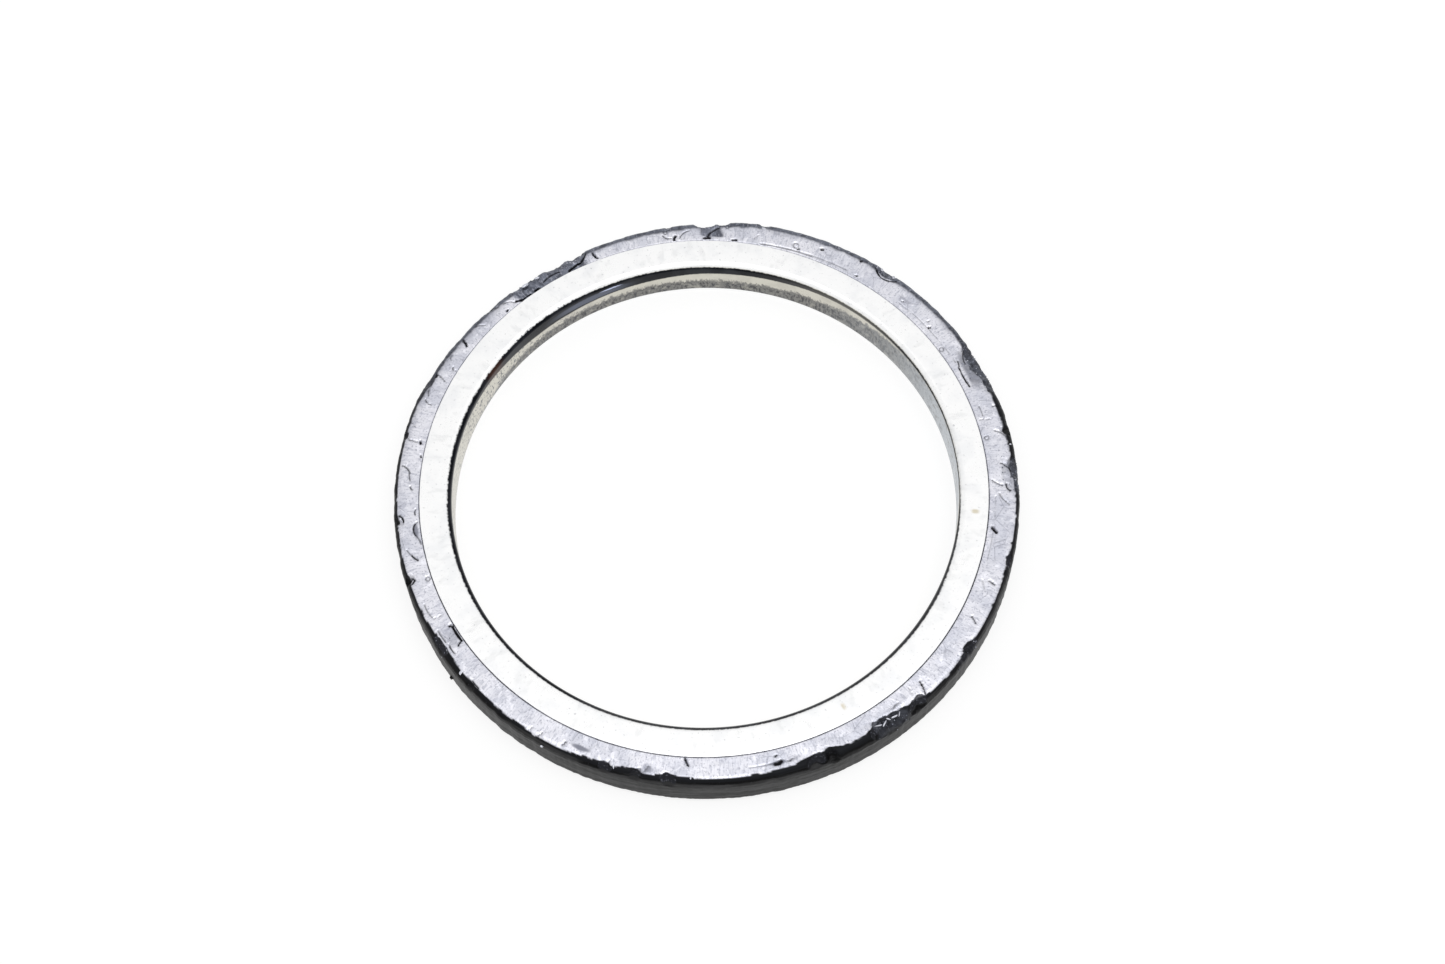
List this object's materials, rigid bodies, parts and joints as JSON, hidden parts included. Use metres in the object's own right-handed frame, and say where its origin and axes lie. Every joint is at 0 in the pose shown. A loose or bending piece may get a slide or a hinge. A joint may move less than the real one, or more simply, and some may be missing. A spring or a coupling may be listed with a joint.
{
  "type": "exhaust gasket",
  "caption": "Round exhaust gasket: a folded metal sleeve holding a pressed graphite ring, worn along its outer edge.",
  "frame": {"origin": "on the bore's axis, half way through the thickness", "axes": "+Z along the bore's axis, out of the face with the chipped rim; +X to the right in the picture"},
  "size_m": [0.045, 0.0448, 0.0036],
  "materials": {
    "plated_steel": "satin tin plate",
    "graphite": "satin, pressed, with chips"
  },
  "bodies": {
    "root": {"sleeve": "plated_steel", "graphite_ring": "graphite"}
  },
  "joints": []
}
